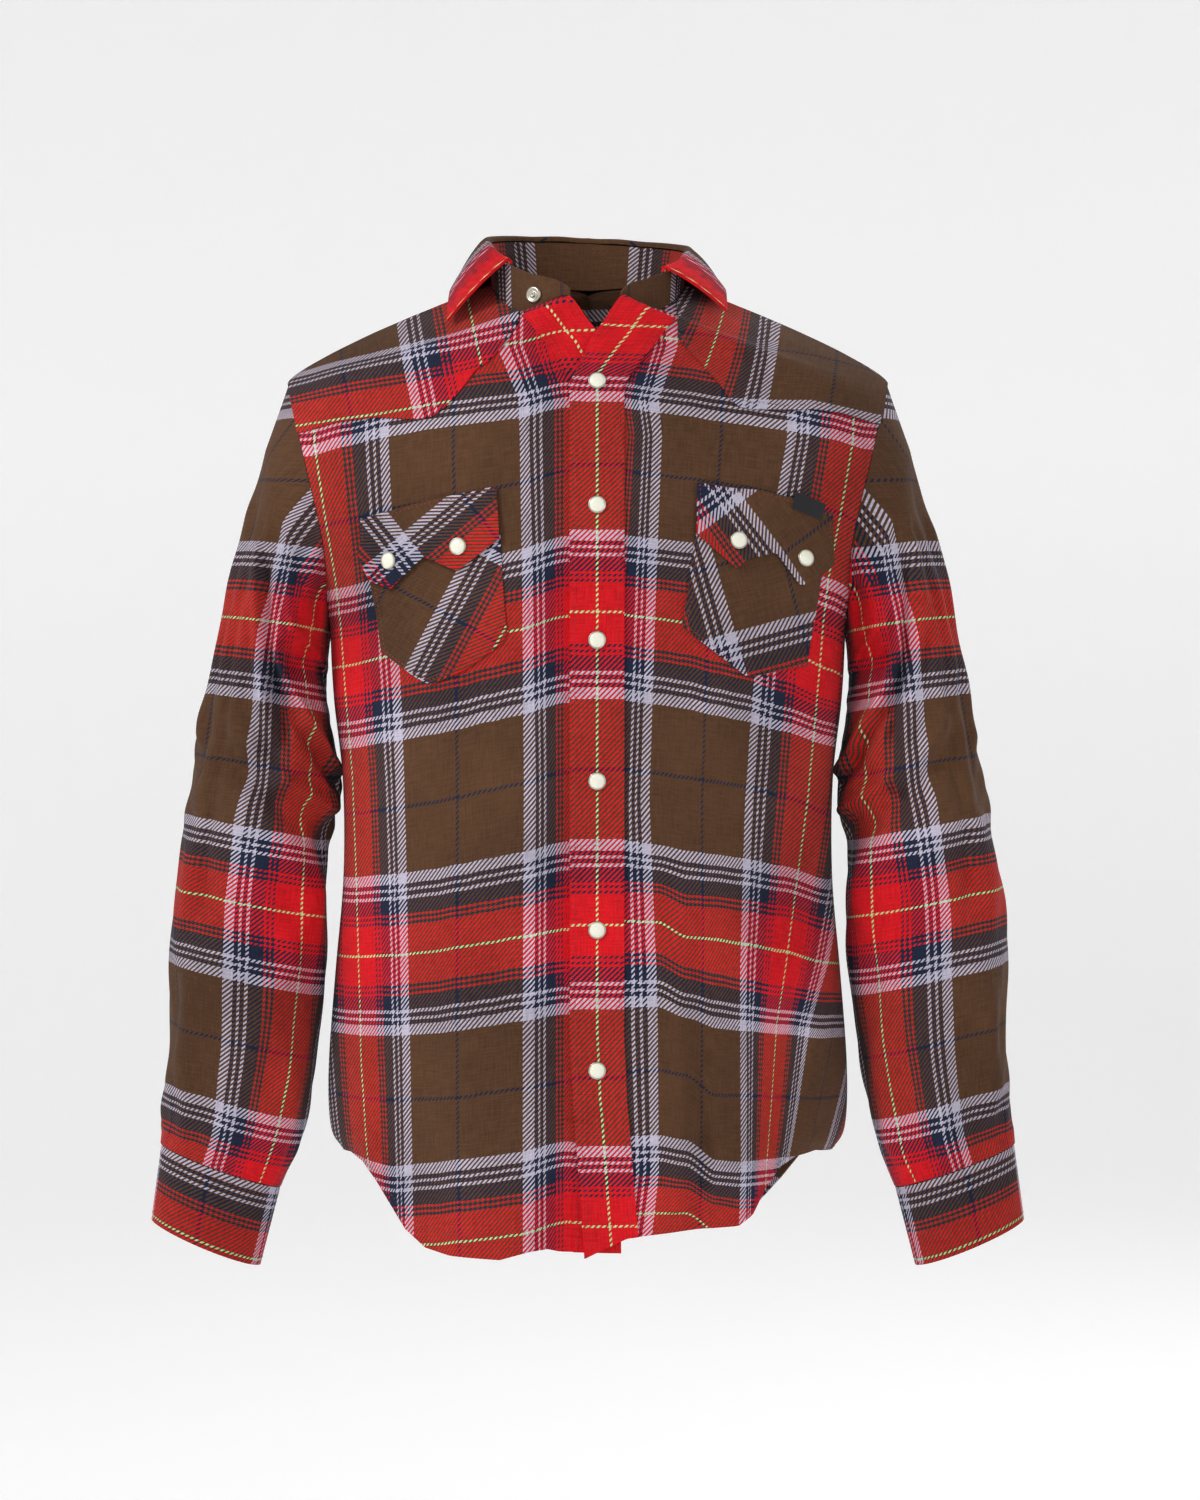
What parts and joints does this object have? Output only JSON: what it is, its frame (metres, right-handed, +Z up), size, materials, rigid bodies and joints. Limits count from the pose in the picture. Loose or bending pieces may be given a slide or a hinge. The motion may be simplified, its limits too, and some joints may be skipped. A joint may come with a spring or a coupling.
{
  "type": "western snap shirt",
  "caption": "Long-sleeved plaid flannel western shirt, hollow as worn, with pointed yokes, sawtooth pocket flaps, pearl snaps, a spread collar and a shirt-tail hem.",
  "frame": {"origin": "between the highest points of the two shoulders at the neck, where the wearer's shoulders carry the shirt", "axes": "+Z is up, the front faces -Y, the wearer's left is at +X"},
  "size_m": [0.6418, 0.2565, 0.7673],
  "materials": {
    "flannel": "brushed twill cotton flannel, woven in a plaid of brown, red, navy and pale lavender",
    "snap_pearl": "ivory pearl cap in a thin metal rim",
    "snap_steel": "nickel-plated pressed metal",
    "woven_tab": "plain black woven tab"
  },
  "bodies": {
    "root": {"front_right": "flannel", "front_left": "flannel", "back": "flannel", "placket_band": "flannel", "under_band": "flannel", "yoke_front_right": "flannel", "yoke_front_left": "flannel", "yoke_back": "flannel", "pocket_right": "flannel", "pocket_left": "flannel", "flap_right": "flannel", "flap_left": "flannel", "label_tab": "woven_tab", "collar_stand": "flannel", "collar_leaf": "flannel", "sleeve_right": "flannel", "sleeve_band_right": "flannel", "cuff_right": "flannel", "snap_cuff_right": "snap_pearl", "sleeve_left": "flannel", "sleeve_band_left": "flannel", "cuff_left": "flannel", "snap_cuff_left": "snap_pearl", "snap_front_1": "snap_pearl", "snap_front_2": "snap_pearl", "snap_front_3": "snap_pearl", "snap_front_4": "snap_pearl", "snap_front_5": "snap_pearl", "snap_front_6": "snap_pearl", "snap_collar": "snap_steel", "snap_flap_right_1": "snap_pearl", "snap_flap_right_2": "snap_pearl", "snap_flap_left_1": "snap_pearl", "snap_flap_left_2": "snap_pearl"}
  },
  "joints": []
}
